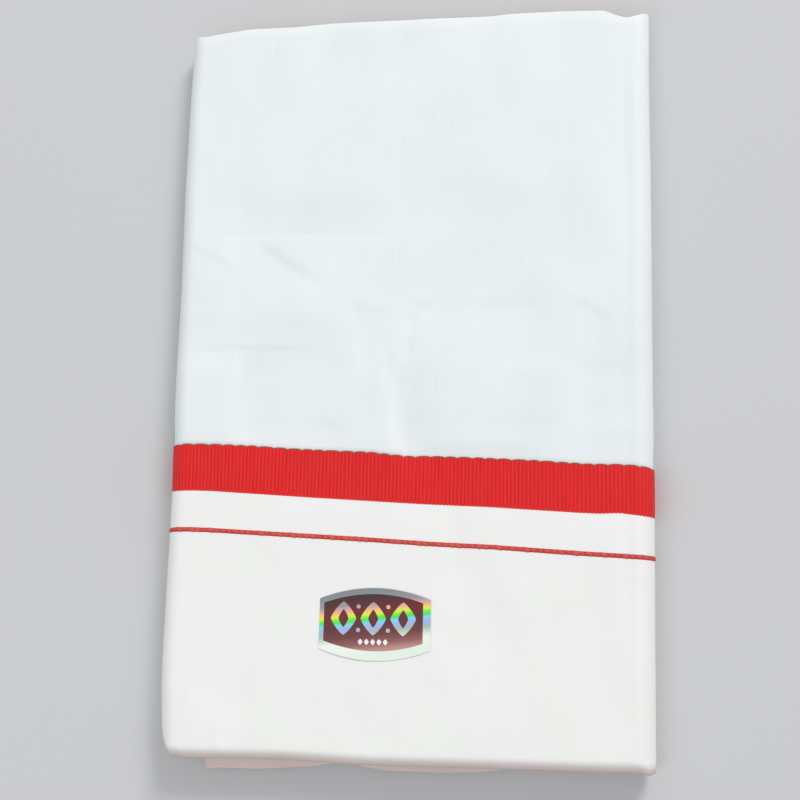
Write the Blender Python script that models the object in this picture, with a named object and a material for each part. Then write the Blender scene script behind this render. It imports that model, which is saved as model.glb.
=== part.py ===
"""A dhoti cloth, 4 m of white cotton 1.27 m wide, folded into a flat stack with its red border turned up.

The cloth is pleated across its width, which leaves the border's edge as a flap on top, and is then
wound flat. So each outer ply runs all the way round the stack: along the top, round the rounded
spines at the left and right, and along the underside. Every wall here is one such ring, and rings
lie in each other. Units are metres. +X is to the right, +Y away from the flap's fold, +Z up. The
origin is the middle of the flat underside.
"""

import math
from collections import namedtuple

import bmesh
import bpy

for old in list(bpy.data.objects):
    bpy.data.objects.remove(old, do_unlink=True)

# Whole stack.
WIDTH = 0.236
NEAR_HEIGHT = 0.0185  # four plies a panel, where the flap lies
FAR_HEIGHT = 0.0165  # three plies a panel, at the far end

# Walls, counted inwards from the outermost face.
CLOTH = 0.0010
GAP = 0.0003
PANEL_DEPTH = CLOTH + GAP  # the ply under the flap starts here
CORE_DEPTH = 2 * (CLOTH + GAP)
FAR_CORE_DEPTH = 3 * (CLOTH + GAP)  # under the ply that turns back at the far end
FOLD_RADIUS = CLOTH + GAP / 2
TURNED_BACK = 0.0120  # how much of that ply is a wall of its own
STEP_BACK = 0.0010  # from its end to the inner layers

# Lines across the flap, each given where x is 0. They all slope, because the cloth was folded askew.
SKEW = -0.0472
SELVEDGE_Y = -0.0365
BAND_LOW_Y = -0.0600
LINE_HIGH_Y = -0.0777
LINE_LOW_Y = -0.0799

# Warp ribs of the band, and the small scallops where its weft turns at the selvedge.
RIB_PITCH = 0.00186
RIB_HEIGHT = 0.00025
SCALLOP_LENGTH = 0.006
SCALLOP_HEIGHT = 0.0004
LINE_BEAD = 0.00025
RELIEF_FROM = -0.8  # the sine of the outward angle below which the ring is plain and rests flat

# The panel settles down to the surface under the stack within this distance of the selvedge.
STEP_START = 0.002
STEP_END = 0.020

# Inner layers: folds that show at each end, and how far they lie back from the outer fold.
LAYERS = 4
LAYER_BACK = 0.0006
GROOVE_BACK = 0.0022
FOLD_OUTLINE = ((0.0, GROOVE_BACK), (0.25, LAYER_BACK), (0.75, LAYER_BACK))  # share of a layer, back

# Soft relief of the pressed cloth. It is only ever raised, so that no wall gets thin.
LOFT = 0.0004

# Foil sticker.
LABEL_CENTRE = (-0.0123, -0.1182)
LABEL_WIDTH = 0.0530
LABEL_SIDE = 0.0240
LABEL_CROWN = 0.0052
LABEL_TURN = math.radians(-0.4)
LABEL_THICK = 0.0005

# Steps round a ring.
TOP_STEPS = 36
SIDE_STEPS = 6
UNDER_STEPS = 8
CORE_STEPS = 24
LABEL_STEPS = 10
PANEL_ROWS = 16
FLAP_ROWS = 6

OutlinePoint = namedtuple("OutlinePoint", "x y")
Crease = namedtuple("Crease", "x y length width height turn")
Station = namedtuple("Station", "run angle rib")
Row = namedtuple(
    "Row",
    "y_at height depth settled inward loft bead rib lower_y_at",
    defaults=(0.0, 0.0, 0.0, 0.0, 0.0, None),
)
Finish = namedtuple("Finish", "colour roughness metallic")

# Far end of the top panel, from the left spine to the right one.
FAR_END = [
    OutlinePoint(-0.1180, 0.1815),
    OutlinePoint(-0.1102, 0.1829),
    OutlinePoint(-0.1016, 0.1847),
    OutlinePoint(-0.0860, 0.1864),
    OutlinePoint(-0.0540, 0.1864),
    OutlinePoint(0.0110, 0.1877),
    OutlinePoint(0.0500, 0.1877),
    OutlinePoint(0.0750, 0.1882),
    OutlinePoint(0.0950, 0.1876),
    OutlinePoint(0.1010, 0.1850),
    OutlinePoint(0.1060, 0.1833),
    OutlinePoint(0.1120, 0.1846),
    OutlinePoint(0.1180, 0.1874),
]

# Near end, where the flap is folded up.
NEAR_END = [
    OutlinePoint(-0.1180, -0.1765),
    OutlinePoint(-0.1158, -0.1804),
    OutlinePoint(-0.1128, -0.1828),
    OutlinePoint(-0.1085, -0.1820),
    OutlinePoint(-0.1060, -0.1826),
    OutlinePoint(-0.0970, -0.1820),
    OutlinePoint(-0.0540, -0.1813),
    OutlinePoint(-0.0190, -0.1825),
    OutlinePoint(0.0480, -0.1823),
    OutlinePoint(0.0980, -0.1822),
    OutlinePoint(0.1109, -0.1822),
    OutlinePoint(0.1153, -0.1835),
    OutlinePoint(0.1180, -0.1822),
]

# Lower layers that stick out under the near end. They start with a square corner.
LOWER_LAYERS = [
    OutlinePoint(-0.0972, -0.1790),
    OutlinePoint(-0.0966, -0.1884),
    OutlinePoint(-0.0900, -0.1878),
    OutlinePoint(-0.0685, -0.1877),
    OutlinePoint(-0.0440, -0.1858),
    OutlinePoint(-0.0290, -0.1828),
    OutlinePoint(-0.0230, -0.1842),
    OutlinePoint(-0.0180, -0.1862),
    OutlinePoint(-0.0077, -0.1872),
    OutlinePoint(0.0162, -0.1866),
    OutlinePoint(0.0515, -0.1848),
    OutlinePoint(0.0620, -0.1790),
]

# Main creases of the top: troughs where the height is negative. The turn is from +Y, in degrees.
CREASES = [
    Crease(x=0.0050, y=0.0020, length=0.0680, width=0.0060, height=-0.0004, turn=3.0),
    Crease(x=-0.0030, y=-0.0090, length=0.0440, width=0.0055, height=0.0004, turn=-7.0),
    Crease(x=-0.0730, y=0.0590, length=0.0760, width=0.0080, height=-0.0003, turn=73.0),
    Crease(x=-0.0250, y=0.0410, length=0.0300, width=0.0070, height=0.0003, turn=64.0),
    Crease(x=0.0915, y=0.0320, length=0.0200, width=0.0060, height=-0.0004, turn=50.0),
    Crease(x=0.0770, y=0.0480, length=0.0240, width=0.0090, height=0.0003, turn=20.0),
    Crease(x=-0.0900, y=0.0170, length=0.0360, width=0.0070, height=-0.0003, turn=88.0),
    Crease(x=0.1045, y=0.0030, length=0.3700, width=0.0045, height=-0.0004, turn=-0.9),
    Crease(x=0.1115, y=0.0030, length=0.3700, width=0.0040, height=0.0004, turn=-0.3),
]


def along(points, x):
    """The y of an outline at x, straight from each of its points to the next."""
    if x <= points[0].x:
        return points[0].y
    for before, after in zip(points, points[1:]):
        if x <= after.x:
            share = (x - before.x) / (after.x - before.x)
            return before.y + share * (after.y - before.y)
    return points[-1].y


def far_end(x):
    return along(FAR_END, x)


def near_end(x):
    return along(NEAR_END, x)


def slanting(y_at_middle, offset=0.0):
    """A line across the cloth that slopes with the fold."""
    return lambda x: y_at_middle + SKEW * x + offset


def selvedge(x):
    """The band's free edge, a run of low scallops."""
    return SELVEDGE_Y + SKEW * x + SCALLOP_HEIGHT * abs(math.sin(math.pi * x / SCALLOP_LENGTH))


def relief(x, y):
    """How far the top is raised at a point, by the loft of the cloth and by its creases."""
    height = LOFT
    for crease in CREASES:
        turn = math.radians(crease.turn)
        right, ahead = x - crease.x, y - crease.y
        lengthwise = ahead * math.cos(turn) - right * math.sin(turn)
        across = right * math.cos(turn) + ahead * math.sin(turn)
        fade = math.exp(-((2 * lengthwise / crease.length) ** 4))
        height += crease.height * fade * math.exp(-((across / crease.width) ** 2))
    return max(0.0, height)


def ring_stations(top_runs, side_steps, under_runs):
    """Stations once round the stack: the right spine, the underside, the left spine, the top.

    Every second one, apart from those that rest on the surface, is the crest of a rib.
    """
    up = math.pi / 2
    stations = []
    for i in range(side_steps):
        stations.append(Station(1.0, up - math.pi * i / side_steps, i % 2))
    for run in reversed(under_runs[1:]):
        stations.append(Station(run, -up, 0))
    for i in range(side_steps):
        stations.append(Station(-1.0, -up - math.pi * i / side_steps, i % 2))
    for i, run in enumerate(top_runs[:-1]):
        stations.append(Station(run, up, i % 2))
    return stations


def even_runs(steps):
    """Places along the flat of the stack, from -1 at the left to 1 at the right."""
    return [-1.0 + 2.0 * i / steps for i in range(steps + 1)]


def plain_stations():
    return ring_stations(even_runs(TOP_STEPS), SIDE_STEPS, even_runs(UNDER_STEPS))


def ring_point(station, row):
    """One point of a ring: where its station and its row cross."""
    upward = math.sin(station.angle)
    half_run = (WIDTH - row.height) / 2
    outer_x = station.run * half_run + row.height / 2 * (1.0 - row.inward) * math.cos(station.angle)
    y_at = row.lower_y_at if row.lower_y_at and upward < 0.0 else row.y_at
    y = y_at(outer_x)
    depth = row.depth - row.settled * PANEL_DEPTH * (1.0 - max(0.0, upward))
    radius = (row.height / 2 - depth) * (1.0 - row.inward)
    if upward > RELIEF_FROM:
        radius += row.bead + row.rib * station.rib
    x = station.run * half_run + radius * math.cos(station.angle)
    z = row.height / 2 + radius * upward
    z += row.loft * max(0.0, upward) ** 2 * relief(x, y)
    return x, y, z


def skin_rows(bm, stations, rows):
    """The vertices of each row, once round."""
    return [[bm.verts.new(ring_point(station, row)) for station in stations] for row in rows]


def bridge(bm, loops):
    """Quads from each closed loop of vertices to the next."""
    for first, second in zip(loops, loops[1:]):
        for i in range(len(first)):
            j = (i + 1) % len(first)
            bm.faces.new((first[i], first[j], second[j], second[i]))


def make_object(name, bm, finish):
    """A closed mesh as a named object with its own material."""
    bmesh.ops.recalc_face_normals(bm, faces=bm.faces[:])
    mesh = bpy.data.meshes.new(name)
    bm.to_mesh(mesh)
    bm.free()
    mesh.shade_smooth()
    mesh.set_sharp_from_angle(angle=math.radians(40.0))
    material = bpy.data.materials.new(name)
    material.use_nodes = True
    shader = material.node_tree.nodes["Principled BSDF"]
    shader.inputs["Base Color"].default_value = (*finish.colour, 1.0)
    shader.inputs["Roughness"].default_value = finish.roughness
    shader.inputs["Metallic"].default_value = finish.metallic
    mesh.materials.append(material)
    piece = bpy.data.objects.new(name, mesh)
    bpy.context.scene.collection.objects.link(piece)
    return piece


def ring_wall(name, stations, rows, finish):
    """A wall that goes all the way round: its rows are the closed outline of its section."""
    bm = bmesh.new()
    loops = skin_rows(bm, stations, rows)
    bridge(bm, loops + loops[:1])
    return make_object(name, bm, finish)


def flap_row(y_at, depth, loft=0.0, bead=0.0, rib=0.0):
    """A row of the near part of the stack, which has its whole height."""
    return Row(y_at, NEAR_HEIGHT, depth, loft=loft, bead=bead, rib=rib)


def panel_row(share, depth, loft=0.0, back=FOLD_RADIUS):
    """A row of the top panel, from the end of its step (share 0) to just back from the far end."""

    def y_at(x):
        start = SELVEDGE_Y + SKEW * x + STEP_END
        return start + share * (far_end(x) - back - start)

    height = NEAR_HEIGHT + share * (FAR_HEIGHT - NEAR_HEIGHT)
    return Row(y_at, height, depth, settled=1.0, loft=loft)


def behind_fold(x):
    """Where the near fold starts to turn."""
    return near_end(x) + FOLD_RADIUS


def near_fold_row(reach, depth):
    return flap_row(lambda x: behind_fold(x) - reach, depth)


def far_fold_row(reach, depth):
    return panel_row(1.0, depth, back=FOLD_RADIUS - reach)


def fold_rows(fold_row, radius, middle_depth, steps):
    """Rows round a fold, from its outer ply to its inner one."""
    angles = [math.pi * i / steps for i in range(1, steps)]
    return [fold_row(radius * math.sin(a), middle_depth - radius * math.cos(a)) for a in angles]


def between(low, high, share):
    """A line at a share of the way from one line to another."""
    return lambda x: low(x) + share * (high(x) - low(x))


def body_cloth(finish):
    """The outermost ply: the flap up to the coloured line, the near fold, the panel, the far fold."""
    top_of_flap = slanting(LINE_LOW_Y, -GAP)
    step_start = slanting(SELVEDGE_Y, STEP_START)
    inner_face = PANEL_DEPTH + CLOTH
    far_middle = PANEL_DEPTH + FOLD_RADIUS
    rows = []
    for i in range(FLAP_ROWS + 1):
        line = between(top_of_flap, behind_fold, i / FLAP_ROWS)
        rows.append(flap_row(line, 0.0, loft=1.0 if i < FLAP_ROWS else 0.0))
    rows += fold_rows(near_fold_row, FOLD_RADIUS, FOLD_RADIUS, steps=4)
    rows.append(flap_row(behind_fold, inner_face))
    rows.append(flap_row(step_start, inner_face))
    rows += [panel_row(share, inner_face) for share in (0.0, 0.5, 1.0)]
    rows += fold_rows(far_fold_row, GAP / 2, far_middle, steps=2)
    rows.append(panel_row(1.0, CORE_DEPTH))
    rows.append(panel_row(1.0, CORE_DEPTH, back=TURNED_BACK))
    rows.append(panel_row(1.0, CORE_DEPTH + CLOTH, back=TURNED_BACK))
    rows.append(panel_row(1.0, CORE_DEPTH + CLOTH))
    rows += reversed(fold_rows(far_fold_row, FOLD_RADIUS, far_middle, steps=4))
    for i in range(PANEL_ROWS, -1, -1):
        loft = 1.0 if i < PANEL_ROWS else 0.0
        rows.append(panel_row(i / PANEL_ROWS, PANEL_DEPTH, loft=loft))
    rows.append(flap_row(step_start, PANEL_DEPTH))
    rows.append(flap_row(behind_fold, PANEL_DEPTH))
    rows += reversed(fold_rows(near_fold_row, GAP / 2, FOLD_RADIUS, steps=2))
    rows.append(flap_row(behind_fold, CLOTH))
    rows.append(flap_row(top_of_flap, CLOTH))
    return ring_wall("body_cloth", plain_stations(), rows, finish)


def flap_margin(finish):
    """White cloth between the coloured line and the band."""
    low = slanting(LINE_HIGH_Y, GAP)
    high = slanting(BAND_LOW_Y, -GAP)
    rows = [
        flap_row(low, 0.0, loft=1.0),
        flap_row(high, 0.0, loft=1.0),
        flap_row(high, CLOTH),
        flap_row(low, CLOTH),
    ]
    return ring_wall("flap_margin", plain_stations(), rows, finish)


def pin_line(finish):
    """The thin coloured line, a corded stripe that stands a little proud."""
    low = slanting(LINE_LOW_Y)
    high = slanting(LINE_HIGH_Y)
    rows = [
        flap_row(low, 0.0, loft=1.0),
        flap_row(between(low, high, 0.25), 0.0, loft=1.0, bead=LINE_BEAD),
        flap_row(between(low, high, 0.75), 0.0, loft=1.0, bead=LINE_BEAD),
        flap_row(high, 0.0, loft=1.0),
        flap_row(high, CLOTH),
        flap_row(low, CLOTH),
    ]
    return ring_wall("pin_line", plain_stations(), rows, finish)


def border_band(finish):
    """The ribbed selvedge band. Its inside is plain, and so is the stretch that rests on the surface."""
    low = slanting(BAND_LOW_Y)
    rows = [
        flap_row(low, 0.0, loft=1.0, rib=RIB_HEIGHT),
        flap_row(selvedge, 0.0, loft=1.0, rib=RIB_HEIGHT),
        flap_row(selvedge, CLOTH),
        flap_row(low, CLOTH),
    ]
    top_ribs = round((WIDTH - NEAR_HEIGHT) / RIB_PITCH)
    side_ribs = round(math.pi * NEAR_HEIGHT / 2 / RIB_PITCH)
    stations = ring_stations(even_runs(2 * top_ribs), 2 * side_ribs, even_runs(UNDER_STEPS))
    return ring_wall("border_band", stations, rows, finish)


def layered_end(end, outward, height, depth, settled, tongue=None):
    """Rows over one end of the inner layers, from their skin to the middle: a fold for each layer.

    The end's line is given, and which way is outward along Y. The tongue is the line of the
    outermost layer's fold on the lower side, where that sticks out.
    """

    def back(distance):
        return lambda x: end(x) - outward * distance

    rows = []
    for layer in range(LAYERS):
        for share, distance in FOLD_OUTLINE:
            lower = tongue if layer == 0 and distance == LAYER_BACK else None
            inward = (layer + share) / LAYERS
            rows.append(Row(back(distance), height, depth, settled, inward, lower_y_at=lower))
    rows.append(Row(back(GROOVE_BACK), height, depth, settled, inward=1.0))
    return rows


def lower_layers(x):
    """The fold line of the lower layers, where they stick out and where they don't."""
    return min(near_end(x) + LAYER_BACK, along(LOWER_LAYERS, x))


def inner_layers(finish):
    """The hidden layers as one solid that fills the outer ply, with layered folds at both ends."""
    near_rows = layered_end(near_end, -1.0, NEAR_HEIGHT, CORE_DEPTH, 0.0, tongue=lower_layers)
    far_rows = layered_end(far_end, 1.0, FAR_HEIGHT, FAR_CORE_DEPTH, 1.0)
    middle_rows = [
        flap_row(slanting(SELVEDGE_Y, STEP_START), CORE_DEPTH),
        panel_row(0.0, CORE_DEPTH),
        panel_row(0.5, CORE_DEPTH),
        panel_row(1.0, CORE_DEPTH, back=TURNED_BACK + 2 * STEP_BACK),
        panel_row(1.0, FAR_CORE_DEPTH, back=TURNED_BACK + STEP_BACK),
    ]
    corner_runs = [2 * corner.x / (WIDTH - NEAR_HEIGHT) for corner in LOWER_LAYERS[:2]]
    runs = sorted(even_runs(CORE_STEPS) + corner_runs)
    bm = bmesh.new()
    stations = ring_stations(runs, SIDE_STEPS, runs)
    bridge(bm, skin_rows(bm, stations, near_rows[::-1] + middle_rows + far_rows))
    bmesh.ops.remove_doubles(bm, verts=bm.verts[:], dist=1e-6)
    return make_object("inner_layers", bm, finish)


def label_outline():
    """A barrel: short straight sides, and a long arc along the top and the bottom."""
    outline = []
    for side in (1.0, -1.0):
        for i in range(LABEL_STEPS + 1):
            share = 1.0 - 2.0 * i / LABEL_STEPS
            half_height = LABEL_SIDE / 2 + LABEL_CROWN * (1.0 - share**2)
            outline.append((side * share * LABEL_WIDTH / 2, side * half_height))
    return outline


def label(finish):
    """The foil sticker, which lies on the flap's own points, moved out."""
    bm = bmesh.new()
    loops = []
    for lift in (GAP, GAP + LABEL_THICK):
        loop = []
        for across, along_y in label_outline():
            x = LABEL_CENTRE[0] + across * math.cos(LABEL_TURN) - along_y * math.sin(LABEL_TURN)
            y = LABEL_CENTRE[1] + across * math.sin(LABEL_TURN) + along_y * math.cos(LABEL_TURN)
            loop.append(bm.verts.new((x, y, NEAR_HEIGHT + relief(x, y) + lift)))
        loops.append(loop)
    bridge(bm, loops)
    for loop in loops:
        bm.faces.new(loop)
    return make_object("label", bm, finish)


WHITE_COTTON = Finish((0.82, 0.85, 0.87), 0.85, 0.0)
UNDER_COTTON = Finish((0.72, 0.70, 0.71), 0.90, 0.0)
RED_BAND = Finish((0.69, 0.030, 0.033), 0.75, 0.0)
RED_LINE = Finish((0.58, 0.060, 0.045), 0.75, 0.0)
FOIL = Finish((0.30, 0.24, 0.26), 0.25, 0.8)

body_cloth(WHITE_COTTON)
flap_margin(WHITE_COTTON)
pin_line(RED_LINE)
border_band(RED_BAND)
inner_layers(UNDER_COTTON)
label(FOIL)
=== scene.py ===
import math
from collections import namedtuple

import bmesh
import bpy
import numpy as np
from mathutils import Matrix, Vector


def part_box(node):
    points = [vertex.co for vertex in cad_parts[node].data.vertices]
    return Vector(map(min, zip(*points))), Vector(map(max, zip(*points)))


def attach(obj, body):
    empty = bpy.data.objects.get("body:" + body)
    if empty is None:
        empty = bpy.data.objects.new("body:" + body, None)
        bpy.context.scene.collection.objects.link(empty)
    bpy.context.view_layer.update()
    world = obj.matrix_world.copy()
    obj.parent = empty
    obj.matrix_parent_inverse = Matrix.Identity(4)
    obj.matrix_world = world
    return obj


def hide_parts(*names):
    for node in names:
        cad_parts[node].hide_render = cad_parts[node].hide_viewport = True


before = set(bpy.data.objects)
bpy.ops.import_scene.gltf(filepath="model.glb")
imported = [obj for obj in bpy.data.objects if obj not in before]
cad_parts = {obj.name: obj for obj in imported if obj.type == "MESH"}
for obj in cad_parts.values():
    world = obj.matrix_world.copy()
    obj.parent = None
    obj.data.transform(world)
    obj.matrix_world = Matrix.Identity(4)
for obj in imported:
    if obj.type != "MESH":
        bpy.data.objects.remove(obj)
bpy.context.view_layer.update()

# The body of the dhoti is one length of plain-woven white cotton, starched, pleated and wound flat.
# The ply that shows runs once round the stack: over the top, round both spines and underneath. At
# the near end it turns up into the flap, and at the far end it turns back into the stack.

body_low, body_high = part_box("body_cloth")
STACK_WIDTH = body_high[0] - body_low[0]
NEAR_HEIGHT = 0.0185
FAR_HEIGHT = 0.0165
HALF_RUN = (STACK_WIDTH - NEAR_HEIGHT) / 2
SPINE_ARC = math.pi * NEAR_HEIGHT / 2
GIRTH = 4 * HALF_RUN + 2 * SPINE_ARC

PLY = 0.00040
PLY_GAP = 0.00015
FOLD_RADIUS = PLY + PLY_GAP / 2
SKEW = -0.0472
STEP_START = 0.0015
STEP_END = 0.0180
TURNED_BACK = 0.0120

Line = namedtuple("Line", "y strays")
Crease = namedtuple("Crease", "width height path")
Step = namedtuple("Step", "width rise path")

# Lines woven across the flap: y where x is 0, and (x, y) pairs of how far each strays from its slant.
CORD_STRAYS = [
    (-0.1166, -0.0010), (-0.1117, -0.0006), (-0.1043, -0.0002), (-0.0945, 0.0),
    (-0.0160, 0.0), (0.0135, -0.0003), (0.0430, 0.0), (0.0823, -0.0005),
    (0.1180, -0.0006),
]
LINE_LOW = Line(-0.0799, CORD_STRAYS)
SELVEDGE = Line(-0.0365, [
    (-0.1166, -0.0020), (-0.1117, -0.0012), (-0.1068, -0.0008), (-0.0945, -0.0004),
    (-0.0749, -0.0001), (-0.0552, -0.0006), (-0.0160, -0.0005), (-0.0061, -0.0012),
    (0.0037, -0.0013), (0.0135, -0.0008), (0.0430, -0.0004), (0.0626, -0.0004),
    (0.0872, -0.0009), (0.1043, -0.0003), (0.1137, -0.0008), (0.1180, -0.0015),
])

# The outlines of both ends of the stack, as (x, y) points.
FAR_END = [
    (-0.1180, 0.1812), (-0.1168, 0.1832), (-0.1148, 0.1845), (-0.1124, 0.1838),
    (-0.1096, 0.1832), (-0.1016, 0.1845), (-0.0860, 0.1864), (-0.0600, 0.1864),
    (-0.0430, 0.1876), (0.0110, 0.1876), (0.0400, 0.1873), (0.0500, 0.1881),
    (0.0750, 0.1885), (0.0950, 0.1878), (0.1010, 0.1850), (0.1060, 0.1833),
    (0.1120, 0.1846), (0.1180, 0.1874),
]
NEAR_END = [
    (-0.1180, -0.1690), (-0.1176, -0.1722), (-0.1167, -0.1752), (-0.1154, -0.1782),
    (-0.1137, -0.1806), (-0.1115, -0.1822), (-0.1085, -0.1816), (-0.1060, -0.1822),
    (-0.0970, -0.1820), (-0.0540, -0.1813), (-0.0190, -0.1825), (0.0480, -0.1821),
    (0.0980, -0.1818), (0.1109, -0.1815), (0.1153, -0.1830), (0.1180, -0.1818),
]
_, FAR_Y = FAR_END[9]  # where each end lies at its middle
_, NEAR_Y = NEAR_END[10]
CORNER_SOFT = 0.0012  # how far to each side the corners of an outline are softened

# Every path is a run of (x, y) points on the top of the stack. A trough has a negative height.
CREASES = [
    # Press lines of the stack's earlier folds.
    Crease(0.0016, -0.00016, [(-0.1095, 0.0754), (-0.0500, 0.0746), (0.0110, 0.0726)]),
    Crease(0.0022, -0.00011, [(-0.0890, 0.1650), (-0.0850, 0.0700), (-0.0820, -0.0240)]),
    Crease(0.0022, -0.00008, [(-0.0060, 0.1850), (-0.0040, 0.0800), (-0.0020, 0.0100)]),
    Crease(0.0030, -0.00007, [(0.0770, 0.1850), (0.0770, -0.0300)]),
    # The long crease that runs down to the border, and the drags that meet it.
    Crease(0.0030, -0.00085, [(0.0040, 0.0360), (0.0010, 0.0220), (-0.0004, 0.0060)]),
    Crease(0.0030, -0.00010, [(-0.0026, 0.0098), (-0.0006, -0.0151), (0.0050, -0.0480)]),
    Crease(0.0042, -0.00016, [(-0.0800, 0.0720), (-0.0620, 0.0570), (-0.0390, 0.0480), (-0.0130, 0.0370)]),
    # The raised roll of the right spine, and the valley beside it.
    Crease(0.0032, -0.00036, [(0.1052, 0.1870), (0.1070, 0.0600), (0.1070, 0.0100)]),
    Crease(0.0030, -0.00022, [(0.1052, 0.0300), (0.1068, -0.1810)]),
    Crease(0.0034, 0.00034, [(0.1122, 0.1870), (0.1122, -0.1810)]),
    # Soft swells of the flap.
    Crease(0.0045, -0.00042, [(0.0262, -0.0560), (0.0258, -0.0800), (0.0275, -0.1080)]),
    Crease(0.0060, 0.00034, [(0.0160, -0.1200), (0.0220, -0.1500)]),
    Crease(0.0060, -0.00016, [(-0.0620, -0.1050), (-0.0580, -0.1600)]),
    Crease(0.0070, 0.00024, [(0.0780, -0.0850), (0.0800, -0.1500)]),
    # Small puckers at the fold.
    Crease(0.0025, -0.00036, [(-0.0930, -0.1830), (-0.0900, -0.1700)]),
    Crease(0.0025, 0.00030, [(-0.0840, -0.1830), (-0.0850, -0.1720)]),
    Crease(0.0030, -0.00026, [(-0.0400, -0.1830), (-0.0380, -0.1740)]),
    Crease(0.0030, 0.00026, [(-0.0140, -0.1830), (-0.0130, -0.1750)]),
    Crease(0.0035, -0.00026, [(0.0540, -0.1830), (0.0560, -0.1720)]),
]

# The cloth steps up on the left of a step's path, or down where the rise is negative.
STEPS = [
    # Broad falls over the edges of the hidden folds.
    Step(0.0140, 0.00180, [(-0.0960, 0.0885), (-0.0560, 0.0885), (-0.0300, 0.0890), (-0.0020, 0.0895)]),
    Step(0.0185, 0.00225, [(-0.0060, 0.0935), (0.0300, 0.0930), (0.0780, 0.0925)]),
    Step(0.0095, 0.00120, [(-0.1220, 0.0270), (-0.0740, 0.0285), (-0.0260, 0.0275)]),
    Step(0.0070, 0.00150, [(0.0010, -0.0345), (0.0300, -0.0355), (0.0680, -0.0370)]),
    # Diagonal drags.
    Step(0.0034, 0.00058, [(-0.0800, 0.0730), (-0.0600, 0.0602), (-0.0440, 0.0488)]),
    Step(0.0028, 0.00022, [(-0.0480, 0.0510), (-0.0300, 0.0400), (-0.0150, 0.0350)]),
    Step(0.0028, 0.00036, [(-0.0290, 0.0368), (-0.0180, 0.0352), (-0.0060, 0.0345)]),
    Step(0.0026, 0.00034, [(-0.1160, 0.0718), (-0.1000, 0.0640), (-0.0870, 0.0570)]),
    Step(0.0028, 0.00046, [(0.0780, 0.0402), (0.0880, 0.0365), (0.1020, 0.0262)]),
    Step(0.0035, 0.00026, [(-0.0470, -0.0180), (-0.0300, -0.0250)]),
    # Short level creases.
    Step(0.0025, 0.00050, [(-0.1130, 0.0160), (-0.0830, 0.0170), (-0.0420, 0.0160)]),
    Step(0.0030, 0.00016, [(-0.0650, 0.0165), (-0.0300, 0.0150)]),
    Step(0.0032, 0.00032, [(0.0180, 0.0376), (0.0450, 0.0384), (0.0720, 0.0378)]),
    Step(0.0022, 0.00036, [(0.0010, 0.0370), (0.0150, 0.0376)]),
    # Upright folds that face the other way.
    Step(0.0044, -0.00150, [(-0.0092, 0.0140), (-0.0066, -0.0120), (-0.0004, -0.0480)]),
    Step(0.0058, -0.00100, [(-0.0060, -0.0160), (-0.0022, -0.0330), (0.0020, -0.0520)]),
    Step(0.0026, -0.00050, [(-0.0258, 0.0350), (-0.0230, 0.0060)]),
    Step(0.0076, -0.00190, [(-0.0845, 0.0180), (-0.0835, -0.0400)]),
    Step(0.0030, -0.00030, [(0.0770, 0.0600), (0.0776, 0.0400)]),
    Step(0.0080, -0.00140, [(0.0815, 0.0130), (0.0800, -0.0260)]),
    # The flap.
    Step(0.0100, 0.00100, [(0.0350, -0.0720), (0.0430, -0.1000), (0.0580, -0.1300)]),
    Step(0.0090, 0.00110, [(0.0955, -0.0600), (0.0965, -0.1000), (0.1030, -0.1600)]),
    Step(0.0080, -0.00070, [(-0.1020, -0.1480), (-0.0860, -0.1610), (-0.0680, -0.1650)]),
]
LOFT = 0.00115
LEVELLING = 3.2  # how many times more slowly the cloth levels out beside a step than it rises in it
CREASE_FADE = 0.30  # share of a crease's length over which each of its ends dies away
CREASE_ENDS = 0.15  # strength that is left at the very ends
SWELLS = 14
SWELL_HEIGHT = 0.000060
SWELL_LENGTHS = (0.024, 0.100)
NEAR_DROOP = 0.0015
FAR_DROOP = 0.0006
DROOP_REACH = 0.0065

rng = np.random.default_rng(11)
swell_turns = rng.uniform(0.0, math.pi, SWELLS)
swell_lengths = rng.uniform(*SWELL_LENGTHS, SWELLS)
swell_starts = rng.uniform(0.0, 2 * math.pi, SWELLS)


def eased(share):
    """0 below 0, 1 above 1, and a smooth rise between."""
    share = np.clip(share, 0.0, 1.0)
    return share * share * (3.0 - 2.0 * share)


def end_line(points, x):
    """The y of an end's outline at x, its corners softened as cloth softens them."""
    shifts = np.linspace(-CORNER_SOFT, CORNER_SOFT, 5)
    return sum(np.interp(x + shift, *zip(*points)) for shift in shifts) / len(shifts)


def near_end(x):
    return end_line(NEAR_END, x)


def far_end(x):
    return end_line(FAR_END, x)


def along_path(path, x, y):
    """How far points lie left of a path, how far past its ends, and a share that fades towards them."""
    path = np.array(path)
    steps = np.diff(path, axis=0)
    lengths = np.hypot(*steps.T)
    nearest = np.full(np.shape(x), 1e9)
    left, travelled = np.zeros((2, *np.shape(x)))
    for start, step, length, before in zip(path, steps, lengths, np.cumsum(lengths) - lengths):
        ahead = ((x - start[0]) * step[0] + (y - start[1]) * step[1]) / length
        aside = ((y - start[1]) * step[0] - (x - start[0]) * step[1]) / length
        on_step = np.clip(ahead, 0.0, length)
        distance = np.hypot(ahead - on_step, aside)
        closer = distance < nearest
        nearest = np.where(closer, distance, nearest)
        left = np.where(closer, aside, left)
        travelled = np.where(closer, before + on_step, travelled)
    past_end = np.sqrt(np.maximum(nearest**2 - left**2, 0.0))
    from_end = np.minimum(travelled, lengths.sum() - travelled) / lengths.sum()
    return left, past_end, CREASE_ENDS + (1.0 - CREASE_ENDS) * eased(from_end / CREASE_FADE)


def crease_height(crease, x, y):
    """One crease: a soft ridge or trough along its path."""
    left, past_end, strength = along_path(crease.path, x, y)
    return crease.height * strength * np.exp(-(left**2 + past_end**2) / crease.width**2)


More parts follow.
